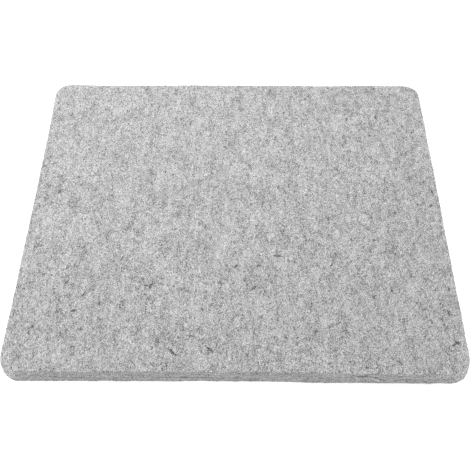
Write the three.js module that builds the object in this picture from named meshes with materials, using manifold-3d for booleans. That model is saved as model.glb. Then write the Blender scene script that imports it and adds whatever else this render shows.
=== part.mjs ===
// Square ironing pad of needled wool felt: three felt plies lying face to face,
// cut to one outline with rounded corners and softly rounded edges.
// Millimetres, +Z up. Origin: middle of the face that lies on the table.
import * as THREE from 'three';
import { mergeVertices } from 'three/addons/utils/BufferGeometryUtils.js';
import Module from 'manifold-3d';

// ---- driving dimensions -------------------------------------------------
const PAD_WIDTH = 300; // X
const PAD_DEPTH = 300; // Y
const PAD_THICKNESS = 10; // Z
const CORNER_RADIUS = 12.5; // outline corners
const EDGE_ROUND = 1.2; // rounding of the upper and lower edges
const LOWER_SEAM_Z = 4.4; // seam between the lower and the middle ply
const UPPER_SEAM_Z = 7.2; // seam between the middle and the upper ply
const CORNER_STEPS = 12; // facets in one outline corner
const EDGE_STEPS = 4; // facets in one edge rounding

// ---- solids ---------------------------------------------------------------
const wasm = await Module();
wasm.setup();

// A closed three.js geometry as a solid that can be cut.
function toSolid(geometry) {
  const g = geometry.clone();
  g.deleteAttribute('normal');
  g.deleteAttribute('uv');
  const merged = mergeVertices(g, 1e-4);
  return new wasm.Manifold(
    new wasm.Mesh({
      numProp: 3,
      vertProperties: new Float32Array(merged.attributes.position.array),
      triVerts: new Uint32Array(merged.index.array),
    })
  );
}

// A solid as a three.js geometry with flat-shaded normals.
function toGeometry(solid) {
  const mesh = solid.getMesh();
  const g = new THREE.BufferGeometry();
  g.setAttribute('position', new THREE.BufferAttribute(new Float32Array(mesh.vertProperties), 3));
  g.setIndex(new THREE.BufferAttribute(new Uint32Array(mesh.triVerts), 1));
  g.computeVertexNormals();
  return g;
}

// Rounded rectangle, centred on the origin.
function padOutline(width, depth, radius) {
  const x = width / 2;
  const y = depth / 2;
  const s = new THREE.Shape();
  s.moveTo(-x + radius, -y);
  s.lineTo(x - radius, -y);
  s.absarc(x - radius, -y + radius, radius, -Math.PI / 2, 0, false);
  s.lineTo(x, y - radius);
  s.absarc(x - radius, y - radius, radius, 0, Math.PI / 2, false);
  s.lineTo(-x + radius, y);
  s.absarc(-x + radius, y - radius, radius, Math.PI / 2, Math.PI, false);
  s.lineTo(-x, -y + radius);
  s.absarc(-x + radius, -y + radius, radius, Math.PI, (3 * Math.PI) / 2, false);
  return s;
}

// The whole pad as it is cut from the sheet, both edges rounded.
const padGeometry = new THREE.ExtrudeGeometry(padOutline(PAD_WIDTH, PAD_DEPTH, CORNER_RADIUS), {
  depth: PAD_THICKNESS - 2 * EDGE_ROUND,
  curveSegments: CORNER_STEPS,
  bevelEnabled: true,
  bevelThickness: EDGE_ROUND,
  bevelSize: EDGE_ROUND,
  bevelOffset: -EDGE_ROUND,
  bevelSegments: EDGE_STEPS,
});
padGeometry.translate(0, 0, EDGE_ROUND);
const pad = toSolid(padGeometry);

// The slice of the pad between two heights.
function ply(zLow, zHigh) {
  const slab = new THREE.BoxGeometry(2 * PAD_WIDTH, 2 * PAD_DEPTH, zHigh - zLow);
  const p = slab.attributes.position;
  for (let i = 0; i < p.count; i++) p.setZ(i, p.getZ(i) < 0 ? zLow : zHigh);
  return toGeometry(pad.intersect(toSolid(slab)));
}

const BEYOND = 5; // past the outer faces, so those faces stay the pad's own

// ---- felt -------------------------------------------------------------------
function felt(colour) {
  return new THREE.MeshStandardMaterial({ color: colour, roughness: 0.95, metalness: 0 });
}

const ironingPad = new THREE.Group();

const lowerPly = new THREE.Mesh(ply(-BEYOND, LOWER_SEAM_Z), felt('#b0b0b0'));
lowerPly.name = 'lower_ply';
ironingPad.add(lowerPly);

const middlePly = new THREE.Mesh(ply(LOWER_SEAM_Z, UPPER_SEAM_Z), felt('#a8a8a8'));
middlePly.name = 'middle_ply';
ironingPad.add(middlePly);

const upperPly = new THREE.Mesh(ply(UPPER_SEAM_Z, PAD_THICKNESS + BEYOND), felt('#b9b9b9'));
upperPly.name = 'upper_ply';
ironingPad.add(upperPly);

export default ironingPad;
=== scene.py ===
import math

import bpy
import numpy as np
from mathutils import Matrix, Vector
from mathutils.geometry import delaunay_2d_cdt


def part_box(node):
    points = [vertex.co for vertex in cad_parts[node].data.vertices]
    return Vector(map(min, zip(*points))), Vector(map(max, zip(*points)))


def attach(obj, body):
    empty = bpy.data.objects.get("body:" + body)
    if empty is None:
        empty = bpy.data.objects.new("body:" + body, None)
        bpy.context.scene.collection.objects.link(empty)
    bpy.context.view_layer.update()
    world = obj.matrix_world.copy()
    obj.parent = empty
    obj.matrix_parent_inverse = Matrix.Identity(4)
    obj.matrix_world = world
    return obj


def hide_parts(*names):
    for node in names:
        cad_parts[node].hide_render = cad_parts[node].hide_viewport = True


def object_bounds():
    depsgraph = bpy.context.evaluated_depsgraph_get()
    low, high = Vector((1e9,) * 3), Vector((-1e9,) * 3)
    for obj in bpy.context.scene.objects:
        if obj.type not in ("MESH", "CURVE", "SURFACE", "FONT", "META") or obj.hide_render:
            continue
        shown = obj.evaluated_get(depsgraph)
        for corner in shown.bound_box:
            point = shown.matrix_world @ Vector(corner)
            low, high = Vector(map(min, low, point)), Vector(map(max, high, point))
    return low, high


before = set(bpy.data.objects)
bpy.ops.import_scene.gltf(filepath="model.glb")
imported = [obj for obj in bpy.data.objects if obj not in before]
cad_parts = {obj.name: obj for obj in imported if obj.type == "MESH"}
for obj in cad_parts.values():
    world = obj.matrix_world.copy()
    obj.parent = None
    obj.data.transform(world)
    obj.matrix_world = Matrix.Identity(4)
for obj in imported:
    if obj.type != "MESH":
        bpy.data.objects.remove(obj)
cad_low, cad_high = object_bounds()

# ---- the pad's sizes, from the frame ------------------------------------------------
SIDE = (cad_high.x - cad_low.x) * 1000.0
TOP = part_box("upper_ply")[1][2] * 1000.0
SEAM_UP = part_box("upper_ply")[0][2] * 1000.0
SEAM_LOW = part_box("lower_ply")[1][2] * 1000.0
CORNER = 12.5
ARRIS = 1.2          # rounding of the upper edge
FOOT = 0.8           # rounding of the lower edge
SEAM_ROUND = 0.22    # rounding of the plies' edges at a seam
SEAM_GAP = 0.05      # between two plies

# ---- noise ----------------------------------------------------------------------------


def smooth_noise(shape, size, length, seed):
    """Periodic noise of unit variance with a Gaussian correlation length per axis."""
    white = np.random.default_rng(seed).standard_normal(shape)
    k2 = np.zeros(shape)
    for axis, (n, s, l) in enumerate(zip(shape, size, length)):
        k = 2 * np.pi * np.fft.fftfreq(n, d=s / n) * l
        k2 = k2 + (k ** 2).reshape([-1 if i == axis else 1 for i in range(len(shape))])
    out = np.fft.ifftn(np.fft.fftn(white) * np.exp(-0.5 * k2)).real
    return out / out.std()


def sample(field, size, x, y):
    """Bilinear look-up in a periodic field."""
    nx, ny = field.shape
    u = (np.asarray(x) / size[0]) % 1.0 * nx
    v = (np.asarray(y) / size[1]) % 1.0 * ny
    i, j = np.floor(u).astype(int) % nx, np.floor(v).astype(int) % ny
    fu, fv = u - np.floor(u), v - np.floor(v)
    i1, j1 = (i + 1) % nx, (j + 1) % ny
    return (
        field[i, j] * (1 - fu) * (1 - fv)
        + field[i1, j] * fu * (1 - fv)
        + field[i, j1] * (1 - fu) * fv
        + field[i1, j1] * fu * fv
    )


FIELD_N, FIELD_MM = 640, 320.0


def relief_field(seed):
    """Unevenness of a felt face, in millimetres."""
    shape, size = (FIELD_N, FIELD_N), (FIELD_MM, FIELD_MM)
    return (
        0.12 * smooth_noise(shape, size, (24, 24), seed)
        + 0.10 * smooth_noise(shape, size, (5.0, 5.0), seed + 1)
        + 0.11 * smooth_noise(shape, size, (1.7, 1.7), seed + 2)
        + 0.04 * smooth_noise(shape, size, (0.8, 0.8), seed + 3)
    )


TOP_RELIEF = relief_field(11)
FOOT_RELIEF = relief_field(21)


def seam_wave(seed):
    """How a seam between two plies wanders up and down, in millimetres."""
    shape, size = (FIELD_N, FIELD_N), (FIELD_MM, FIELD_MM)
    field = (
        0.22 * smooth_noise(shape, size, (15, 15), seed)
        + 0.10 * smooth_noise(shape, size, (3.5, 3.5), seed + 1)
        + 0.05 * smooth_noise(shape, size, (1.2, 1.2), seed + 2)
    )
    return lambda x, y: sample(field, size, x + FIELD_MM / 2, y + FIELD_MM / 2)


LOW_WAVE, UP_WAVE = seam_wave(41), seam_wave(51)


def inside(x, y, inset=0.0):
    """Distance inside the rounded outline, positive within."""
    qx = np.abs(x) - (SIDE / 2 - CORNER)
    qy = np.abs(y) - (SIDE / 2 - CORNER)
    out = np.hypot(np.maximum(qx, 0), np.maximum(qy, 0)) + np.minimum(np.maximum(qx, qy), 0) - CORNER
    return -out - inset


def edge_fade(x, y, near, far):
    t = np.clip((inside(x, y) - near) / (far - near), 0, 1)
    return t * t * (3 - 2 * t)


def top_rise(x, y):
    """The pressing face's unevenness, fading out at its rounded edge."""
    return sample(TOP_RELIEF, (FIELD_MM, FIELD_MM), x + FIELD_MM / 2, y + FIELD_MM / 2) * edge_fade(x, y, ARRIS * 0.8, ARRIS + 3.0)


def top_z(x, y):
    return TOP + top_rise(x, y)


def foot_rise(x, y):
    """The resting face touches the table in its lowest places only."""
    return np.maximum(0.0, sample(FOOT_RELIEF, (FIELD_MM, FIELD_MM), x, y)) * 0.3 * edge_fade(x, y, FOOT, FOOT + 3.0)


# ---- the outline, point by point round the pad, starting at the near side's left end ----


def make_outline(step):
    half, run = SIDE / 2, SIDE - 2 * CORNER
    place, normal, side = [], [], []
    n_run, n_arc = round(run / step), round(CORNER * math.pi / 2 / (step * 0.8))
    for k in range(4):
        a = math.radians(90 * k)
        c, s = math.cos(a), math.sin(a)

        def turn(x, y):
            return (c * x - s * y, s * x + c * y)

        for i in range(n_run):
            place.append(turn(-run / 2 + run * i / n_run, -half))
            normal.append(turn(0, -1))
            side.append(k)
        for i in range(n_arc):
            b = -math.pi / 2 + math.pi / 2 * i / n_arc
            place.append(turn(run / 2 + CORNER * math.cos(b), -run / 2 + CORNER * math.sin(b)))
            normal.append(turn(math.cos(b), math.sin(b)))
            side.append(k)
    return np.array(place), np.array(normal), np.array(side)


RING, NORMAL, RING_SIDE = make_outline(0.9)
COUNT = len(RING)
LENGTHS = np.linalg.norm(np.roll(RING, -1, 0) - RING, axis=1)
ARC = np.concatenate([[0], np.cumsum(LENGTHS)[:-1]])
PERIMETER = LENGTHS.sum()

# The cut isn't quite straight: how far it stands out from a straight side, along the near and the far side.
CUT_X = np.array([-150, -120, -80, -40, -20, 0, 20, 40, 60, 80, 100, 120, 150.0])
CUT_NEAR = np.array([0.0, 0.20, 0.0, -0.35, -0.65, -0.50, -0.32, -0.15, 0.25, 0.42, 0.50, 0.45, 0.0])
CUT_FAR = np.array([0.0, -0.25, -0.40, 0.05, 0.0, 0.0, -0.1, 0.05, 0.15, 0.2, 0.55, 0.6, 0.0])
cut = np.where(
    RING_SIDE == 0,
    np.interp(RING[:, 0], CUT_X, CUT_NEAR),
    np.where(RING_SIDE == 2, np.interp(RING[:, 0], CUT_X, CUT_FAR), np.where(RING_SIDE == 1, 0.15, 0.0)),
)
cut = np.where(np.abs(NORMAL[:, 0]) > 0.02, np.where(np.abs(NORMAL[:, 0]) < 0.98, 0.0, cut), cut)
window = np.exp(-0.5 * (np.arange(-40, 41) / 9.0) ** 2)
CUT = np.convolve(np.concatenate([cut[-40:], cut, cut[:40]]), window / window.sum(), "valid")
# The left side is cut more evenly than the others.
even_side = np.where(NORMAL[:, 0] < -0.98, 1.0, 0.0)
CALM = 1.0 - 0.6 * np.convolve(np.concatenate([even_side[-40:], even_side, even_side[:40]]), window / window.sum(), "valid")
CUT = CUT + CALM * (0.10 * smooth_noise((COUNT,), (PERIMETER,), (9.0,), 31) + 0.05 * smooth_noise((COUNT,), (PERIMETER,), (2.5,), 32))
# At three corners it strays further: side before the corner, way along the outline from the corner's middle, how far out.
for k, way, out in (
    (0, (-40, -22, -9.8, -3.3, 3.3, 7.6, 12, 22, 45), (0, 0.2, 0.2, -0.05, -0.45, 0.0, 0.2, 0.3, 0)),
    (2, (-35, -15, -9.8, 0, 9.8, 20, 35, 60), (0, 0.35, 0.5, 0.6, 0.9, 0.95, 0.4, 0)),
    (3, (-50, -25, -14, -9.8, 0), (0, 0.3, 0.35, 0.1, 0)),
):
    middle = (k + 1) * PERIMETER / 4 - CORNER * math.pi / 4
    CUT = CUT + np.interp((ARC - middle + PERIMETER / 2) % PERIMETER - PERIMETER / 2, way, out)

WALL_ROWS, WALL_MM = 256, 25.6


def wall_field(seed):
    """Roughness of a cut face over (run along the outline, height): long in the run, thin in height, as the felt's layers lie."""
    shape, size = (COUNT, WALL_ROWS), (PERIMETER, WALL_MM)
    return (
        0.07 * smooth_noise(shape, size, (2.6, 0.35), seed)
        + 0.06 * smooth_noise(shape, size, (1.0, 0.5), seed + 1)
        + 0.10 * smooth_noise(shape, size, (14.0, 1.2), seed + 2)
    )


# ---- meshes ----------------------------------------------------------------------------


def new_mesh(name, verts, loops, starts, materials, slots=None, smooth=True):
    """A mesh object from arrays: corners in one row, and where each face starts in it. verts are in millimetres."""
    me = bpy.data.meshes.new(name)
    me.vertices.add(len(verts))
    me.vertices.foreach_set("co", (np.asarray(verts, np.float64) * 0.001).astype(np.float32).ravel())
    me.loops.add(len(loops))
    me.loops.foreach_set("vertex_index", np.asarray(loops, np.int32))
    me.polygons.add(len(starts))
    me.polygons.foreach_set("loop_start", np.asarray(starts, np.int32))
    for m in materials:
        me.materials.append(m)
    if slots is not None:
        me.polygons.foreach_set("material_index", np.asarray(slots, np.int32))
    me.polygons.foreach_set("use_smooth", np.full(len(starts), smooth))
    me.update(calc_edges=True)
    me.validate()
    ob = bpy.data.objects.new(name, me)
    bpy.context.scene.collection.objects.link(ob)
    return ob


def cap(ring_xy, inset, spacing, seed):
    """Triangles over a face: the ring's own points, and scattered ones within. Returns the points within and the triangles."""
    rng = np.random.default_rng(seed)
    half = SIDE / 2
    rows = np.arange(-half, half, spacing * 0.866)
    xs, ys = [], []
    for j, y in enumerate(rows):
        x = np.arange(-half + (spacing / 2 if j % 2 else 0), half, spacing)
        xs.append(x)
        ys.append(np.full(len(x), y))
    x, y = np.concatenate(xs), np.concatenate(ys)
    x = x + rng.normal(0, 0.12 * spacing, len(x))
    y = y + rng.normal(0, 0.12 * spacing, len(y))
    keep = inside(x, y) > inset + 1.0 + 0.5 * min(spacing, 2.0)
    inner = np.stack([x[keep], y[keep]], 1)
    pts = [Vector((float(a), float(b))) for a, b in np.vstack([ring_xy, inner])]
    out = delaunay_2d_cdt(pts, [], [list(range(len(ring_xy)))], 1, 1e-7)
    if len(out[0]) != len(pts):
        raise RuntimeError("a face's points merged")
    return inner, np.array([f for f in out[2] if len(f) == 3], np.int64)


def make_ply(name, z0, z1, low, high, seed, materials, shown):
    """One felt ply: a closed slab with rounded edges. low and high are (rounding, steps, spacing of the face's points, the face's height above z0 or z1, seed of its points)."""
    (r0, n0, h0, f0, s0), (r1, n1, h1, f1, s1) = low, high
    profile = []
    for i in range(n0 + 1):
        p = math.radians(90 * i / n0)
        profile.append((z0 + r0 * (1 - math.cos(p)), r0 * (1 - math.sin(p))))
    wall = max(2, round((z1 - r1 - z0 - r0) / 0.42))
    for i in range(1, wall):
        profile.append((z0 + r0 + (z1 - r1 - z0 - r0) * i / wall, 0.0))
    for i in range(n1 + 1):
        p = math.radians(90 * (1 - i / n1))
        profile.append((z1 - r1 * (1 - math.cos(p)), r1 * (1 - math.sin(p))))
    field = wall_field(seed)
    own = 0.05 * smooth_noise((COUNT,), (PERIMETER,), (16.0,), seed + 5)
    rings, run = [], [0.0]
    for i, (z, inset) in enumerate(profile):
        rough = sample(field, (PERIMETER, WALL_MM), ARC, np.full(COUNT, z + 1.0))
        out = CUT + CALM * (own + rough) - inset
        xy = RING + NORMAL * out[:, None]
        up = (z - z0) / (z1 - z0)
        shift = (1 - up) * f0(RING[:, 0], RING[:, 1]) + up * f1(RING[:, 0], RING[:, 1])
        rings.append(np.column_stack([xy, z + shift]))
        if i:
            run.append(run[-1] + math.hypot(profile[i][0] - profile[i - 1][0], profile[i][1] - profile[i - 1][1]))
    verts = np.vstack(rings)
    rows = len(rings)
    i = np.arange(COUNT)
    quads = []
    for j in range(rows - 1):
        a, b = j * COUNT + i, j * COUNT + (i + 1) % COUNT
        quads.append(np.stack([a, b, b + COUNT, a + COUNT], 1))
    quads = np.vstack(quads)
    # faces below and above
    under, tri0 = cap(rings[0][:, :2], r0, h0, s0)
    over, tri1 = cap(rings[-1][:, :2], r1, h1, s1)
    first0 = len(verts)
    verts = np.vstack([verts, np.column_stack([under, z0 + f0(under[:, 0], under[:, 1])])])
    first1 = len(verts)
    verts = np.vstack([verts, np.column_stack([over, z1 + f1(over[:, 0], over[:, 1])])])
    tri0 = np.where(tri0 < COUNT, tri0, tri0 - COUNT + first0)[:, ::-1]
    tri1 = np.where(tri1 < COUNT, tri1 + (rows - 1) * COUNT, tri1 - COUNT + first1)
    loops = np.concatenate([quads.ravel(), tri0.ravel(), tri1.ravel()])
    starts = np.concatenate([np.arange(len(quads)) * 4, len(quads) * 4 + np.arange(len(tri0) + len(tri1)) * 3])
    ob = new_mesh(name, verts, loops, starts, materials)
    lay_out(ob, verts, quads, tri0, tri1, rows, run, shown)
    return ob


def lay_out(ob, verts, quads, tri0, tri1, rows, run, shown):
    """The piece's flat map: the shown face large, the edge in four strips, hidden faces small."""
    height = 0.19 if shown == "edge" else 0.019
    uv = []
    j, i = np.divmod(quads[:, 0], COUNT)
    side = RING_SIDE[i]
    first = np.array([ARC[RING_SIDE == k][0] for k in range(4)])
    length = np.array([LENGTHS[RING_SIDE == k].sum() for k in range(4)])
    for corner, (di, dj) in enumerate(((0, 0), (1, 0), (1, 1), (0, 1))):
        a = ARC[i] + di * LENGTHS[i] - first[side]
        u = 0.01 + 0.98 * a / length[side]
        v = 0.008 + side * (height + 0.002) + np.array(run)[j + dj] / run[-1] * height
        uv.append(np.stack([u, v], 1))
    edge_uv = np.stack(uv, 1).reshape(-1, 2)
    big = (0.02, 0.105, 0.88)
    places = {"low": [big, (0.92, 0.60, 0.06)], "high": [(0.92, 0.60, 0.06), big], "edge": [(0.10, 0.88, 0.10), (0.40, 0.88, 0.10)]}[shown]

    def face_uv(tri, place):
        xy = verts[tri.ravel()][:, :2] / (SIDE + 3.0) + 0.5
        return np.array(place[:2]) + xy * place[2]

    all_uv = np.vstack([edge_uv, face_uv(tri0, places[0]), face_uv(tri1, places[1])])
    layer = ob.data.uv_layers.new(name="OFBake")
    layer.uv.foreach_set("vector", all_uv.astype(np.float32).ravel())


# ---- wool fibres ---------------------------------------------------------------------------


def make_fibres(name, paths, radius, shade, materials):
    """Thin closed three-sided tubes along paths (fibre, point, xyz), tapered at both ends."""
    n, k, _ = paths.shape
    tangent = np.gradient(paths, axis=1)
    tangent /= np.maximum(np.linalg.norm(tangent, axis=2, keepdims=True), 1e-9)
    ref = np.where(np.abs(tangent[:, :, 2:3]) > 0.9, np.array([[[1.0, 0, 0]]]), np.array([[[0, 0, 1.0]]]))
    a = np.cross(tangent, ref)
    a /= np.maximum(np.linalg.norm(a, axis=2, keepdims=True), 1e-9)
    b = np.cross(tangent, a)
    taper = np.clip(np.minimum(np.linspace(0, 1, k), np.linspace(1, 0, k)) * 4, 0.3, 1.0)
    rad = radius[:, None] * taper[None, :]
    verts = np.empty((n, k, 3, 3))
    for s in range(3):
        w = 2 * math.pi * s / 3 + math.pi / 2
        verts[:, :, s] = paths + rad[:, :, None] * (math.cos(w) * a + math.sin(w) * b)
    base = (np.arange(n) * k * 3)[:, None]
    quads = []
    for j in range(k - 1):
        for s in range(3):
            t = (s + 1) % 3
            quads.append(np.stack([j * 3 + s, j * 3 + t, (j + 1) * 3 + t, (j + 1) * 3 + s]))
    quads = np.stack(quads)  # (faces, 4)
    q = (base[:, :, None] + quads[None]).reshape(-1, 4)
    ends = np.array([[2, 1, 0], [(k - 1) * 3, (k - 1) * 3 + 1, (k - 1) * 3 + 2]])
    e = (base[:, :, None] + ends[None]).reshape(-1, 3)
    loops = np.concatenate([q.ravel(), e.ravel()])
    starts = np.concatenate([np.arange(len(q)) * 4, len(q) * 4 + np.arange(len(e)) * 3])
    slots = np.concatenate([np.repeat(shade, len(quads)), np.repeat(shade, 2)])
    return new_mesh(name, verts.reshape(-1, 3), loops, starts, materials, slots)


def curl(rng, n, k, length, bend, across=1.0):
    """Flat wavy lines of given lengths through the origin: (n, k, 2). With across below 1, fewer of them run along X than along Y."""
    t = np.linspace(-0.5, 0.5, k)[None, :]
    way = rng.uniform(0, 2 * np.pi, (n, 1))
    heading = (
        np.arctan2(np.sin(way), across * np.cos(way))
        + bend * rng.normal(0, 1.0, (n, 1)) * t * 2
        + bend * rng.uniform(0.1, 0.7, (n, 1)) * np.sin(2 * np.pi * (t * rng.uniform(0.6, 1.6, (n, 1)) + rng.uniform(0, 1, (n, 1))))
    )
    step = (length / (k - 1))[:, None]
    x = np.cumsum(np.cos(heading) * step, 1)
    y = np.cumsum(np.sin(heading) * step, 1)
    out = np.stack([x, y], 2)
    return out - out[:, k // 2 : k // 2 + 1]


# ---- materials --------------------------------------------------------------------------------


class Net:
    """A material's nodes, added one after another."""

    def __init__(self, mat):
        mat.use_nodes = True
        self.tree = mat.node_tree
        self.nodes, self.links = self.tree.nodes, self.tree.links
        self.nodes.clear()

    def add(self, kind, **values):
        n = self.nodes.new(kind)
        for key, v in values.items():
            setattr(n, key, v)
        return n

    def put(self, socket, value):
        if hasattr(value, "is_linked"):
            self.links.new(value, socket)
        else:
            socket.default_value = value

    def math(self, op, a, b=None, c=None, clamp=False):
        n = self.add("ShaderNodeMath", operation=op, use_clamp=clamp)
        for s, v in zip(n.inputs, (a, b, c)):
            if v is not None:
                self.put(s, v)
        return n.outputs[0]

    def vec(self, op, a, b=None, scale=None):
        n = self.add("ShaderNodeVectorMath", operation=op)
        self.put(n.inputs[0], a)
        if b is not None:
            self.put(n.inputs[1], b)
        if scale is not None:
            n.inputs["Scale"].default_value = scale
        return n.outputs[0]

    def noise(self, vector, scale, detail=2.0, rough=0.5, colour=False):
        n = self.add("ShaderNodeTexNoise")
        self.put(n.inputs["Vector"], vector)
        n.inputs["Scale"].default_value = scale
        n.inputs["Detail"].default_value = detail
        n.inputs["Roughness"].default_value = rough
        return n.outputs["Color" if colour else "Fac"]

    def ramp(self, value, low, high, out_low=0.0, out_high=1.0, kind="SMOOTHSTEP"):
        n = self.add("ShaderNodeMapRange", interpolation_type=kind)
        for name, v in (("Value", value), ("From Min", low), ("From Max", high), ("To Min", out_low), ("To Max", out_high)):
            self.put(n.inputs[name], v)
        return n.outputs["Result"]


def felt(name, seed, face, cut_level_with_painted_shade):
    """Heathered wool felt. face and cut_level_with_painted_shade are the grey of the felt's face and of its cut edge;
    the cut edge's grey is partly its own tone and partly painted shade of its cut fibre ends.
    """
    mat = bpy.data.materials.new(name)
    net = Net(mat)
    coord = net.add("ShaderNodeTexCoord")
    p = net.vec("SCALE", coord.outputs["Object"], scale=1000.0)  # millimetres
    # the carded wool lies a little more along Y than along X
    moved = net.vec("ADD", net.vec("MULTIPLY", p, (1.12, 0.66, 1.0)), (37.0 * seed, 11.0 * seed, 5.0 * seed))
    # the fibres curl: bend the space that they are drawn in
    bend = net.noise(moved, 0.22, 1.0, 0.5, colour=True)
    bend = net.vec("SCALE", net.vec("SUBTRACT", bend, (0.5, 0.5, 0.5)), scale=5.0)
    curled = net.vec("ADD", moved, net.vec("MULTIPLY", bend, (1.0, 1.0, 0.10)))

    def strands(table, detail, rough):
        """Strands of wool in four directions: the lightest and the darkest of them at each point."""
        out = []
        for i, (angle, length, width) in enumerate(table):
            m = net.add("ShaderNodeMapping", vector_type="TEXTURE")
            net.put(m.inputs["Vector"], curled)
            m.inputs["Location"].default_value = (13.0 * i, 29.0 * i, 7.0 * i)
            m.inputs["Rotation"].default_value = (0, 0, math.radians(angle))
            m.inputs["Scale"].default_value = (length, width, 0.45)
            out.append(net.noise(m.outputs[0], 1.0, detail, rough))
        a, b, c, d = out
        light = net.math("MAXIMUM", net.math("MAXIMUM", a, b), net.math("MAXIMUM", c, d))
        dark = net.math("MINIMUM", net.math("MINIMUM", a, b), net.math("MINIMUM", c, d))
        return light, dark

    def hairs(stretch, offset, scale, width, keep_scale, keep_low, keep_high):
        """Thin curly hairs: the level lines of a smooth noise, broken into short lengths."""
        q = net.vec("ADD", net.vec("MULTIPLY", p, stretch), (offset[0], offset[1], offset[2] + 9.0 * (seed - 1)))
        line = net.math("ABSOLUTE", net.math("SUBTRACT", net.noise(q, scale, 1.0, 0.5), 0.5))
        keep = net.noise(net.vec("ADD", q, (71.0, 19.0, 43.0)), keep_scale, 2.0, 0.5)
        return net.math("MULTIPLY", net.ramp(line, 0.0, width, 1.0, 0.0), net.ramp(keep, keep_low, keep_high))

    light, dark = strands(((28, 4.0, 0.62), (66, 3.4, 0.55), (98, 4.4, 0.66), (136, 3.2, 0.52)), 2.0, 0.6)
    thin_light, thin_dark = strands(((18, 2.4, 0.40), (60, 2.0, 0.36), (95, 2.6, 0.42), (134, 2.2, 0.34)), 1.0, 0.5)
    fine_light, fine_dark = strands(((8, 1.5, 0.14), (52, 1.7, 0.12), (97, 1.4, 0.13), (143, 1.6, 0.11)), 1.0, 0.5)
    hair_1 = hairs((1.0, 0.55, 1.0), (5.0, 91.0, 3.0), 0.36, 0.055, 0.30, 0.48, 0.58)
    hair_2 = hairs((0.9, 0.40, 1.0), (55.0, 9.0, 33.0), 0.50, 0.070, 0.34, 0.48, 0.58)
    hair_3 = hairs((0.6, 0.80, 1.0), (25.0, 49.0, 63.0), 0.44, 0.070, 0.34, 0.48, 0.58)
    hair_4 = hairs((1.0, 0.55, 1.0), (15.0, 19.0, 53.0), 0.75, 0.10, 0.40, 0.50, 0.60)
    grain = net.noise(moved, 1.5, 3.0, 0.7)
    fine_grain = net.noise(p, 2.6, 2.0, 0.6)
    tuft = net.noise(curled, 0.42, 2.0, 0.55)
    cloud = net.noise(moved, 0.066, 4.0, 0.6)
    card = net.noise(net.vec("MULTIPLY", p, (0.30, 0.075, 1.0)), 1.0, 3.0, 0.65)
    wide_card = net.noise(net.vec("MULTIPLY", p, (0.13, 0.035, 1.0)), 1.0, 3.0, 0.65)
    # how light the wool is here: dark strands and hairs on a lighter ground, and lighter and darker wool as it was carded
    tone = 1.0
    for part, middle_value, amount in (
        (dark, 0.415, 1.75), (thin_dark, 0.398, 1.6), (fine_dark, 0.398, 1.6), (fine_light, 0.602, 1.6), (grain, 0.5, 4.0), (fine_grain, 0.5, 1.0),
        (cloud, 0.5, 0.37), (card, 0.5, 0.60), (wide_card, 0.496, 0.76),
        (hair_1, 0.073, -0.29), (hair_2, 0.093, -0.37), (hair_3, 0.104, -0.13), (hair_4, 0.112, -0.21),
    ):
        tone = net.math("MULTIPLY_ADD", net.math("SUBTRACT", part, middle_value), amount, tone)
    # on the cut edge the layers of wool show as short level streaks
    level_wool = net.noise(net.vec("MULTIPLY", net.vec("ADD", p, (0.0, 0.0, 3.0 * seed)), (0.34, 0.34, 2.2)), 1.0, 3.0, 0.6)
    thin_wool = net.noise(net.vec("MULTIPLY", net.vec("ADD", p, (0.0, 0.0, 5.0 * seed)), (0.95, 0.95, 3.4)), 1.0, 2.0, 0.5)
    cut_tone = 1.0
    for part, amount in ((level_wool, 1.25), (thin_wool, 1.4), (grain, 2.4), (cloud, 0.5)):
        cut_tone = net.math("MULTIPLY_ADD", net.math("SUBTRACT", part, 0.5), amount, cut_tone)
    # the cut edge is darker, partly its own tone and partly painted shade of the cut fibre ends, and meets the face
    # along a ragged line
    geo = net.add("ShaderNodeNewGeometry")
    nz = net.add("ShaderNodeSeparateXYZ")
    net.put(nz.inputs[0], geo.outputs["Normal"])
    up = net.math("MULTIPLY_ADD", net.math("SUBTRACT", grain, 0.5), 0.9, net.math("ABSOLUTE", nz.outputs["Z"]))
    on_face = net.ramp(up, 0.46, 0.90)
    level = net.ramp(on_face, 0.0, 1.0, cut_level_with_painted_shade, face, kind="LINEAR")
    tone = net.math("MULTIPLY_ADD", net.math("SUBTRACT", tone, cut_tone), on_face, cut_tone)
    grey = net.math("MULTIPLY", net.math("MINIMUM", net.math("MAXIMUM", tone, 0.10), 1.9), level)
    shader = net.add("ShaderNodeBsdfPrincipled")
    net.put(shader.inputs["Base Color"], grey)
    net.put(shader.inputs["Roughness"], net.ramp(grain, 0.3, 0.7, 0.86, 1.0))
    shader.inputs["Specular IOR Level"].default_value = 0.15
    shader.inputs["Sheen Weight"].default_value = 0.06
    shader.inputs["Sheen Roughness"].default_value = 0.45
    shader.inputs["Sheen Tint"].default_value = (1, 1, 1, 1)
    # raised fibres over a slightly lumpy ground
    height = net.math("MULTIPLY_ADD", light, 0.4, net.math("MULTIPLY", grain, 0.5))
    height = net.math("MULTIPLY_ADD", thin_light, 0.3, height)
    height = net.math("MULTIPLY_ADD", fine_light, 0.3, height)
    height = net.math("MULTIPLY_ADD", net.math("ADD", hair_1, hair_2), 0.15, height)
    fine = net.add("ShaderNodeBump")
    fine.inputs["Strength"].default_value = 0.55
    fine.inputs["Distance"].default_value = 0.00035
    net.put(fine.inputs["Height"], height)
    coarse = net.add("ShaderNodeBump")
    coarse.inputs["Strength"].default_value = 0.5
    coarse.inputs["Distance"].default_value = 0.0006
    net.put(coarse.inputs["Height"], tuft)
    net.put(coarse.inputs["Normal"], fine.outputs[0])
    net.put(shader.inputs["Normal"], coarse.outputs[0])
    out = net.add("ShaderNodeOutputMaterial")
    net.put(out.inputs["Surface"], shader.outputs[0])
    return mat


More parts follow.
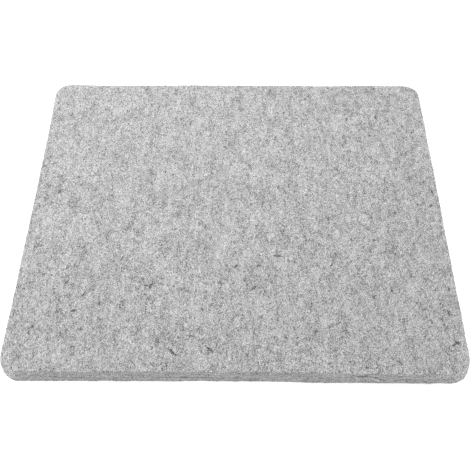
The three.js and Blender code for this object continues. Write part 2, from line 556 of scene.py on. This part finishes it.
def fibre_wool(name, grey):
    """One dyed shade of wool fibre: a plain colour, since a single hair has one."""
    mat = bpy.data.materials.new(name)
    mat.use_nodes = True
    p = mat.node_tree.nodes["Principled BSDF"]
    p.inputs["Base Color"].default_value = (grey, grey, grey, 1)
    p.inputs["Roughness"].default_value = 0.75
    p.inputs["Specular IOR Level"].default_value = 0.3
    p.inputs["Sheen Weight"].default_value = 0.15
    p.inputs["Sheen Roughness"].default_value = 0.4
    return mat


# ---- the plies ---------------------------------------------------------------------------------
# The cut edge's grey is set below the face's: partly the cut's own tone, partly painted shade. The upper ply's cut edge
# is painted darker still (x 0.93, the middle ply's x 0.97): painted shade that evens out the extra light on the upper
# part of the edge.
FACE, CUT_GREY_WITH_PAINTED_SHADE = 0.425, 0.378
upper = make_ply(
    "felt_upper_ply", SEAM_UP + SEAM_GAP / 2, TOP,
    (SEAM_ROUND, 3, 7.0, UP_WAVE, 901), (ARRIS, 6, 1.2, top_rise, 902), 100,
    [felt("felt_upper", 1, FACE, CUT_GREY_WITH_PAINTED_SHADE * 0.93)], "high",
)
middle = make_ply(
    "felt_middle_ply", SEAM_LOW + SEAM_GAP / 2, SEAM_UP - SEAM_GAP / 2,
    (SEAM_ROUND, 3, 7.0, LOW_WAVE, 903), (SEAM_ROUND, 3, 7.0, UP_WAVE, 901), 200,
    [felt("felt_middle", 2, FACE, CUT_GREY_WITH_PAINTED_SHADE * 0.97)], "edge",
)
lower = make_ply(
    "felt_lower_ply", 0.0, SEAM_LOW - SEAM_GAP / 2,
    (FOOT, 4, 3.0, foot_rise, 904), (SEAM_ROUND, 3, 7.0, LOW_WAVE, 903), 300,
    [felt("felt_lower", 3, FACE, CUT_GREY_WITH_PAINTED_SHADE)], "low",
)
for ob, node, slot in ((upper, "upper_ply", "upper_felt"), (middle, "middle_ply", "middle_felt"), (lower, "lower_ply", "lower_felt")):
    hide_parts(node)
    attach(ob, "root")

# ---- loose wool: fibres that lie on the face, a short nap, fuzz at the cut edge, dark tufts ------------
SHADES = (0.085, 0.19, 0.33, 0.46, 0.60, 0.76)
WOOL = [fibre_wool("wool_%d" % (i + 1), g) for i, g in enumerate(SHADES)]


def on_pad(rng, count, margin):
    """Random points on the face, at least margin inside the outline."""
    half = SIDE / 2
    x, y = rng.uniform(-half, half, 3 * count), rng.uniform(-half, half, 3 * count)
    keep = np.flatnonzero(inside(x, y) > margin)[:count]
    return np.stack([x[keep], y[keep]], 1)


def lying(seed, count, margin=1.5):
    """Fibres lying on the face, both ends in the felt, the middle a little raised."""
    rng = np.random.default_rng(seed)
    k = 7
    length = np.clip(rng.lognormal(math.log(4.6), 0.4, count), 2.0, 10.0)
    flat = curl(rng, count, k, length, 1.0, 0.6) + on_pad(rng, count, margin)[:, None, :]
    # a fibre that would leave the face is held at its edge
    over = np.maximum(0.6 - inside(flat[..., 0], flat[..., 1]), 0)
    flat = flat * (1 - over / (SIDE / 2))[..., None]
    t = np.linspace(0, 1, k)[None, :]
    lift = rng.uniform(0.05, 0.38, (count, 1)) * np.sin(np.pi * t) ** 0.7
    lift = lift + rng.normal(0, 0.03, (count, k)) - 0.08 * (np.abs(2 * t - 1) ** 4)
    z = top_z(flat[..., 0], flat[..., 1]) + 0.03 + lift
    radius = rng.uniform(0.035, 0.07, count)
    shade = rng.choice(6, count, p=(0.05, 0.09, 0.14, 0.22, 0.30, 0.20))
    return np.dstack([flat, z]), radius, shade


def nap(seed, count, margin=2.0):
    """Short fibres that stand up from the face and bend over."""
    rng = np.random.default_rng(seed)
    k = 4
    foot = on_pad(rng, count, margin)
    length = np.clip(rng.lognormal(math.log(1.15), 0.35, count), 0.5, 2.6)
    lean = rng.uniform(0.15, 0.95, count)  # radians from upright at the foot
    bow = rng.uniform(0.2, 1.0, count)  # further lean at the tip
    way = rng.uniform(0, 2 * np.pi, count)
    pts = np.zeros((count, k, 3))
    pts[:, 0, :2] = foot
    pts[:, 0, 2] = top_z(foot[:, 0], foot[:, 1]) - 0.12
    for j in range(1, k):
        a = lean + bow * (j - 1) / (k - 2)
        w = way + rng.normal(0, 0.25, count)
        step = length / (k - 1)
        pts[:, j, 0] = pts[:, j - 1, 0] + step * np.sin(a) * np.cos(w)
        pts[:, j, 1] = pts[:, j - 1, 1] + step * np.sin(a) * np.sin(w)
        pts[:, j, 2] = pts[:, j - 1, 2] + step * np.cos(a)
    radius = rng.uniform(0.028, 0.05, count)
    shade = rng.choice(6, count, p=(0.07, 0.12, 0.16, 0.20, 0.25, 0.20))
    return pts, radius, shade


def on_cut(along, z, lift):
    """Points on the cut edge: along it from the near side's left end, at height z, lift out of it."""
    grid = np.append(ARC, PERIMETER)
    s = along % PERIMETER
    place, out = RING + NORMAL * CUT[:, None], NORMAL

    def look(v):
        return np.interp(s, grid, np.append(v, v[0]))

    arc = np.clip((z - (TOP - ARRIS)) / ARRIS, 0, 1)
    far = lift - ARRIS * (1 - np.sqrt(np.maximum(1 - arc ** 2, 0)))
    return np.stack([look(place[:, 0]) + far * look(out[:, 0]), look(place[:, 1]) + far * look(out[:, 1]), z], -1)


def edge_wool(seed, count):
    """Fibres lying on the cut edge, most of them level, some carried across the seams."""
    rng = np.random.default_rng(seed)
    k = 6
    t = np.linspace(-0.5, 0.5, k)[None, :]
    length = np.clip(rng.lognormal(math.log(3.0), 0.4, (count, 1)), 1.4, 7.0)
    steep = rng.random((count, 1)) < 0.3
    tilt = rng.normal(0, 1, (count, 1)) * np.where(steep, 1.0, 0.22)
    wave, turn = rng.uniform(0.05, 0.3, (count, 1)), rng.uniform(0, 2 * np.pi, (count, 1))
    along = rng.uniform(0, PERIMETER, (count, 1)) + np.cos(tilt) * length * t
    z = rng.uniform(0.5, TOP - 0.9, (count, 1)) + np.sin(tilt) * length * t + wave * np.sin(4.5 * t + turn)
    z = np.clip(z, 0.15, TOP - 0.3)
    lift = 0.10 + rng.uniform(0.05, 0.35, (count, 1)) * np.cos(np.pi * t) ** 0.7 - 0.35 * np.abs(2 * t) ** 4
    radius = rng.uniform(0.03, 0.06, count)
    shade = rng.choice(6, count, p=(0.05, 0.12, 0.22, 0.28, 0.22, 0.11))
    return on_cut(along, z, lift), radius, shade


def edge_fuzz(seed, count):
    """Fibres that come out of the cut edge and curl along it, longest at its upper rim."""
    rng = np.random.default_rng(seed)
    k = 6
    rim = rng.random(count) < 0.5
    z = np.where(rim, rng.uniform(TOP - 1.6, TOP - 0.1, count), rng.uniform(1.0, TOP - 0.6, count))
    reach = np.where(rim, 0.55, 0.35 + 0.04 * z)
    length = np.clip(rng.lognormal(math.log(1.8), 0.45, count), 0.7, 5.0) * np.where(rim, 0.9, 0.75)
    turn = rng.uniform(-1.25, 1.25, count)  # from straight out towards along the edge
    bow = rng.choice((-1, 1), count) * rng.uniform(0.3, 1.3, count)
    rise = rng.normal(0.1, 0.35, count) + np.where(rim, 0.3, 0.0)
    along, height, out = np.zeros((count, k)), np.zeros((count, k)), np.zeros((count, k))
    along[:, 0], height[:, 0], out[:, 0] = rng.uniform(0, PERIMETER, count), z, -0.25
    for j in range(1, k):
        a = turn + bow * (j - 1) / (k - 2)
        step = length / (k - 1)
        along[:, j] = along[:, j - 1] + step * np.sin(a)
        out[:, j] = out[:, j - 1] + step * np.cos(a)
        height[:, j] = height[:, j - 1] + step * (rise - 0.25 * (j - 1) / (k - 2))
    out = np.where(out > reach[:, None], reach[:, None] + 0.2 * (out - reach[:, None]), out)
    root = on_cut(along, np.repeat(z[:, None], k, 1), out)
    root[..., 2] = np.maximum(np.where(height > TOP + 0.7, TOP + 0.7 + 0.2 * (height - TOP - 0.7), height), 0.1)
    radius = rng.uniform(0.028, 0.05, count)
    shade = rng.choice(6, count, p=(0.03, 0.07, 0.16, 0.27, 0.29, 0.18))
    return root, radius, shade


# Where the darkest strands lie on the face: x, y, length, which way they run in degrees, and how many fibres.
TUFTS = (
    (-57.5, -76, 8, 70, 26), (-60.5, -76.5, 4, 172, 20), (30, -47.5, 7, -8, 38), (-16, -131.5, 7, -51, 28), (-40, -134, 8, -48, 38),
    (142.5, -126, 5, 37, 40), (144.5, -125, 5, -30, 44), (142, -100, 6.5, -75, 38), (13, -77.5, 7, 47, 24), (0.5, -57.5, 4, 60, 36),
    (-132, 18, 5, 75, 46), (-115, -73, 5, 50, 32), (-107, -99, 6, 15, 34), (145, -78, 5, 95, 28), (53, -116, 6, 60, 24),
    (-91, -92, 5, 90, 17), (106, -79, 5, 100, 17), (67, -10, 5, 90, 17), (16, -57, 4, 40, 24), (33, -121, 5, 120, 17),
    (-103, -85, 5, 65, 15), (-50, -124, 5, 110, 15), (94, -85, 4, 75, 18), (88, 105, 5, 80, 20), (146, 20, 5, 85, 28), (143, 4, 4, 70, 34),
)


def tufts(seed, more):
    """Dark strands in the grey wool: the ones above, and slighter ones anywhere."""
    rng = np.random.default_rng(seed)
    k = 6
    spots = [(x, y, size, math.radians(a), n) for x, y, size, a, n in TUFTS]
    for (x, y) in on_pad(rng, more, 5.0):
        spots.append((x, y, rng.uniform(1.8, 4.2), math.atan2(math.sin(a := rng.uniform(0, np.pi)), 0.6 * math.cos(a)), int(rng.integers(3, 8))))
    paths, radius, shade = [], [], []
    for x, y, size, a, n in spots:
        stray = rng.random(n) < 0.25
        length = size * rng.uniform(0.35, 0.85, n) * np.where(stray, 0.7, 1.0)
        flat = curl(rng, n, k, length, 0.8)
        turn = a + rng.normal(0, 1, n) * np.where(stray, 0.9, 0.16)
        turn = turn - np.arctan2(flat[:, -1, 1] - flat[:, 0, 1], flat[:, -1, 0] - flat[:, 0, 0])
        c, q = np.cos(turn)[:, None], np.sin(turn)[:, None]
        flat = np.stack([c * flat[..., 0] - q * flat[..., 1], q * flat[..., 0] + c * flat[..., 1]], 2)
        along, aside = rng.normal(0, 0.17 * size, n), rng.normal(0, 1, n) * np.where(stray, 0.7, 0.26)
        flat = flat + np.stack([x + along * math.cos(a) - aside * math.sin(a), y + along * math.sin(a) + aside * math.cos(a)], 1)[:, None, :]
        t = np.linspace(0, 1, k)[None, :]
        z = top_z(flat[..., 0], flat[..., 1]) + 0.01 + rng.uniform(0.02, 0.2, (n, 1)) * np.sin(np.pi * t)
        paths.append(np.dstack([flat, z]))
        radius.append(rng.uniform(0.035, 0.065, n))
        shade.append(rng.choice((0, 0, 1, 1, 2), n))
    return np.concatenate(paths), np.concatenate(radius), np.concatenate(shade)


def lock(seed):
    """A lock of light wool that has come loose on the near cut face. The dark strands above and below it are painted
    shade of the creases beside it, and a dark run along the upper seam is a painted shadow of the seam's gap.
    """
    rng = np.random.default_rng(seed)
    k = 9
    t = np.linspace(0, 1, k)
    runs = (  # x and z at both ends, spread across, thinnest and thickest strand, how many, shades
        (84.4, 6.8, 93.6, 2.7, 0.34, 0.08, 0.13, 44, (5,)),
        (86.2, 4.9, 91.0, 1.9, 0.16, 0.07, 0.11, 12, (4, 5)),
        # dark strands above and below the lock: painted shade of the creases beside it
        (87.6, 7.5, 94.8, 4.1, 0.16, 0.04, 0.06, 8, (1, 2, 2)),
        (86.4, 4.5, 90.6, 2.0, 0.10, 0.04, 0.06, 6, (1, 2, 2)),
        # a dark run along the upper seam: painted shadow of the open seam gap
        (75.5, 7.5, 84.2, 7.6, 0.14, 0.04, 0.06, 6, (1, 2, 2)),
        (79.5, 6.4, 84.0, 6.7, 0.14, 0.06, 0.09, 8, (4, 5)),
    )
    paths, radius, shade = [], [], []
    for x0, z0, x1, z1, spread, thin, thick, n, tones in runs:
        a, b = rng.uniform(-0.08, 0.12, (n, 1)), rng.uniform(0.88, 1.08, (n, 1))
        f = a + (b - a) * t[None, :]
        run = math.hypot(x1 - x0, z1 - z0)
        aside = rng.normal(0, spread, (n, 1)) + 0.10 * np.sin(2 * np.pi * (f + rng.uniform(0, 1, (n, 1))))
        x = x0 + (x1 - x0) * f - aside * (z1 - z0) / run
        z = z0 + (z1 - z0) * f + aside * (x1 - x0) / run + 0.35 * np.sin(np.pi * np.clip(f, 0, 1))
        i = np.argmin(np.abs(RING[:, 0] - (x0 + x1) / 2) + 1e3 * (RING[:, 1] > 0))
        face = -RING[i, 1] + CUT[i]
        out = rng.uniform(0.0, 0.3, (n, 1)) * np.sin(np.pi * t)[None, :] ** 0.6 - 0.6 * (np.abs(2 * t - 1) ** 4)[None, :]
        y = -(face + 0.30 + out)
        paths.append(np.dstack([x, y, np.maximum(z, 0.1)]))
        radius.append(rng.uniform(thin, thick, n))
        shade.append(rng.choice(tones, n))
    return np.concatenate(paths), np.concatenate(radius), np.concatenate(shade)


for name, (paths, radius, shade) in (
    ("face_wool_1", lying(401, 4500)),
    ("face_wool_2", lying(402, 4500)),
    ("nap_1", nap(411, 8000)),
    ("nap_2", nap(412, 8000)),
    ("edge_wool", edge_wool(425, 4600)),
    ("edge_fuzz", edge_fuzz(421, 3000)),
    ("dark_tufts", tufts(431, 60)),
    ("loose_lock_and_painted_shade", lock(441)),
):
    ob = make_fibres(name, paths, radius, shade, WOOL)
    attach(ob, "root")

# ---- camera, at the photograph's viewing angle ------------------------------------------------
pitch, yaw, roll = (math.radians(a) for a in (45.095, -0.534, -0.074))
look = Vector((math.sin(yaw) * math.cos(pitch), math.cos(yaw) * math.cos(pitch), -math.sin(pitch)))
right = Vector((math.cos(yaw), -math.sin(yaw), 0.0))
up_axis = right.cross(look)
r2 = right * math.cos(roll) + up_axis * math.sin(roll)
u2 = up_axis * math.cos(roll) - right * math.sin(roll)
cam_data = bpy.data.cameras.new("camera")
cam_data.sensor_width = 36.0
cam_data.lens = 36.0 * 1023.36 / 470.0
cam_data.clip_start, cam_data.clip_end = 0.01, 200.0
cam = bpy.data.objects.new("camera", cam_data)
cam.matrix_world = Matrix((
    (r2.x, u2.x, -look.x, 0.00412),
    (r2.y, u2.y, -look.y, -0.5440),
    (r2.z, u2.z, -look.z, 0.5284),
    (0, 0, 0, 1),
))
bpy.context.scene.collection.objects.link(cam)
bpy.context.scene.camera = cam

# ---- floor and soft studio light -----------------------------------------------------------------
n = 96
floor_v = np.array([(0, 0, 0)] + [(20000 * math.cos(2 * math.pi * i / n), 20000 * math.sin(2 * math.pi * i / n), 0) for i in range(n)], float)
floor_v[:, 2] = -0.02
floor_f = np.array([(0, 1 + i, 1 + (i + 1) % n) for i in range(n)])
paper = bpy.data.materials.new("pale_floor")
sheet = Net(paper)
across = sheet.add("ShaderNodeSeparateXYZ")
sheet.put(across.inputs[0], sheet.add("ShaderNodeTexCoord").outputs["Object"])
pb = sheet.add("ShaderNodeBsdfPrincipled")
pb.inputs["Base Color"].default_value = (0.86, 0.86, 0.86, 1)
pb.inputs["Emission Color"].default_value = (1, 1, 1, 1)
# the floor is lit from below, more beside the pad and most off its two near corners
even = sheet.ramp(across.outputs["X"], -0.15, 0.15, 0.66, 0.58, kind="LINEAR")
beside = sheet.ramp(sheet.math("ABSOLUTE", across.outputs["X"]), 0.132, 0.172)
off = sheet.math("MULTIPLY", sheet.ramp(sheet.math("ABSOLUTE", across.outputs["X"]), 0.143, 0.155), sheet.ramp(across.outputs["Y"], -0.150, -0.144, 1.0, 0.0))
off = sheet.math("MULTIPLY", off, sheet.ramp(across.outputs["X"], -0.1, 0.1, 1.5, 2.2))
sheet.put(pb.inputs["Emission Strength"], sheet.math("ADD", sheet.math("MULTIPLY_ADD", beside, 0.4, even), off))
pb.inputs["Roughness"].default_value = 1.0
pb.inputs["Specular IOR Level"].default_value = 0.0
sheet.put(sheet.add("ShaderNodeOutputMaterial").inputs["Surface"], pb.outputs[0])
floor = new_mesh("floor", floor_v, floor_f.ravel(), np.arange(n) * 3, [paper])

# white walls all round, brighter at the two sides, with less light from the front and from overhead
world = bpy.data.worlds.new("studio")
bpy.context.scene.world = world
world.use_nodes = True
sky = Net(world)
way = sky.add("ShaderNodeTexCoord").outputs["Generated"]
axis = sky.add("ShaderNodeSeparateXYZ")
sky.put(axis.inputs[0], way)
level = sky.ramp(axis.outputs["Z"], 0.15, 1.0, 1.03, 0.50, kind="LINEAR")
sides = sky.math("MULTIPLY", axis.outputs["X"], axis.outputs["X"])
front = sky.math("MULTIPLY", sky.ramp(axis.outputs["Y"], -1.0, 0.0, 1.0, 0.0, kind="LINEAR"), sky.ramp(axis.outputs["Z"], 0.08, 0.30))
round_about = sky.math("MULTIPLY_ADD", sides, 0.45, sky.math("MULTIPLY_ADD", front, -0.60, 1.0))
glow = sky.add("ShaderNodeBackground")
glow.inputs["Color"].default_value = (1, 1, 1, 1)
sky.put(glow.inputs["Strength"], sky.math("MULTIPLY", level, round_about))
sky.put(sky.add("ShaderNodeOutputWorld").inputs["Surface"], glow.outputs[0])


def area_light(name, place, aim, size, power):
    data = bpy.data.lights.new(name, "AREA")
    data.shape = "SQUARE"
    data.size = size
    data.energy = power
    ob = bpy.data.objects.new(name, data)
    ob.location = place
    ob.rotation_euler = (Vector(aim) - Vector(place)).to_track_quat("-Z", "Y").to_euler()
    ob.visible_camera = False
    bpy.context.scene.collection.objects.link(ob)
    return ob


area_light("key", (-0.20, 0.24, 0.62), (-0.17, 0.20, 0.0), 0.5, 3.1)
area_light("left_side", (-0.95, -0.03, 0.16), (-0.15, -0.03, 0.01), 0.30, 0.3)
area_light("right_side", (0.95, -0.03, 0.16), (0.15, -0.03, 0.01), 0.30, 0.6)

view = bpy.context.scene.view_settings
view.view_transform = "Standard"
view.look = "None"
view.exposure = 0.0
view.gamma = 1.0
bpy.context.scene.cycles.use_denoising = False
